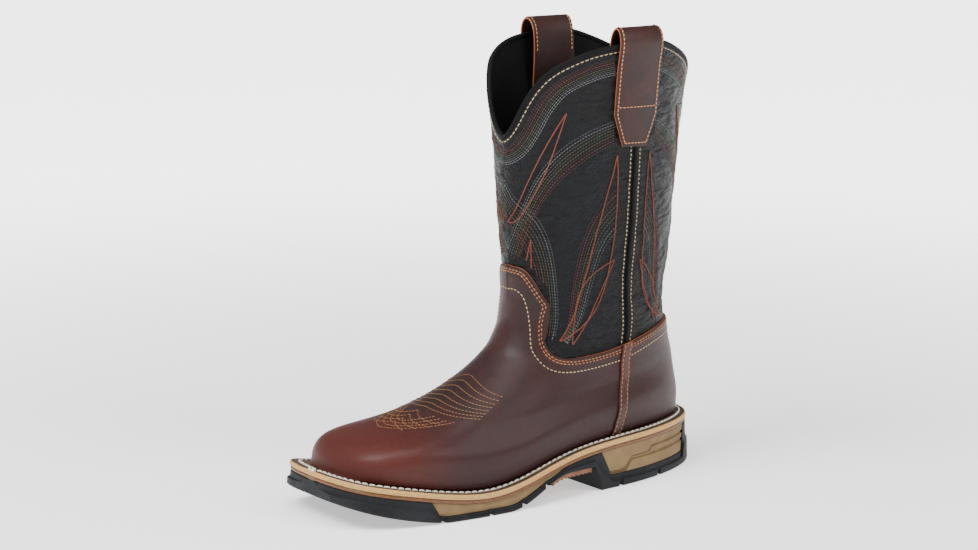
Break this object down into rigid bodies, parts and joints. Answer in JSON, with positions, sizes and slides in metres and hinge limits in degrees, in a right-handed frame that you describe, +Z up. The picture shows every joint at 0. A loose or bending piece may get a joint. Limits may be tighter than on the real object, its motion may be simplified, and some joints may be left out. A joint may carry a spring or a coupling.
{
  "type": "pull-on western work boot",
  "caption": "Pull-on western work boot, left, with a square toe, a scalloped leather shaft, pull straps, a stitched welt and a lugged heel sole.",
  "frame": {"origin": "on the floor, under the middle of the boot's box", "axes": "+Z up, -Y towards the toe, +X towards the lateral (outer) side of this left boot"},
  "size_m": [0.1208, 0.3124, 0.3266],
  "materials": {
    "shaft_leather": "black tumbled full-grain leather, soft sheen",
    "vamp_leather": "oxblood pull-up leather, waxed, burnished at the toe",
    "trim_leather": "red-brown smooth leather",
    "strap_leather": "dark brown strap leather with lighter cut edges",
    "insole_board": "dark lining cloth over board",
    "welt_leather": "dark stained top with a pale cut edge",
    "midsole_leather": "amber-brown waxed edge",
    "sole_foam": "olive-tan matt foam",
    "outsole_rubber": "blue-black matt rubber",
    "insert_rubber": "copper-coloured matt rubber"
  },
  "bodies": {
    "root": {"upper": "shaft_leather", "vamp": "vamp_leather", "counter": "vamp_leather", "seam_strip_lateral": "trim_leather", "seam_strip_medial": "trim_leather", "side_piping_lateral": "shaft_leather", "side_piping_medial": "shaft_leather", "collar_binding": "shaft_leather", "pull_strap_lateral": "strap_leather", "pull_strap_medial": "strap_leather", "insole": "insole_board", "welt": "welt_leather", "midsole": "midsole_leather", "forefoot_foam": "sole_foam", "heel_block": "sole_foam", "outsole": "outsole_rubber", "arch_insert": "insert_rubber"}
  },
  "joints": []
}
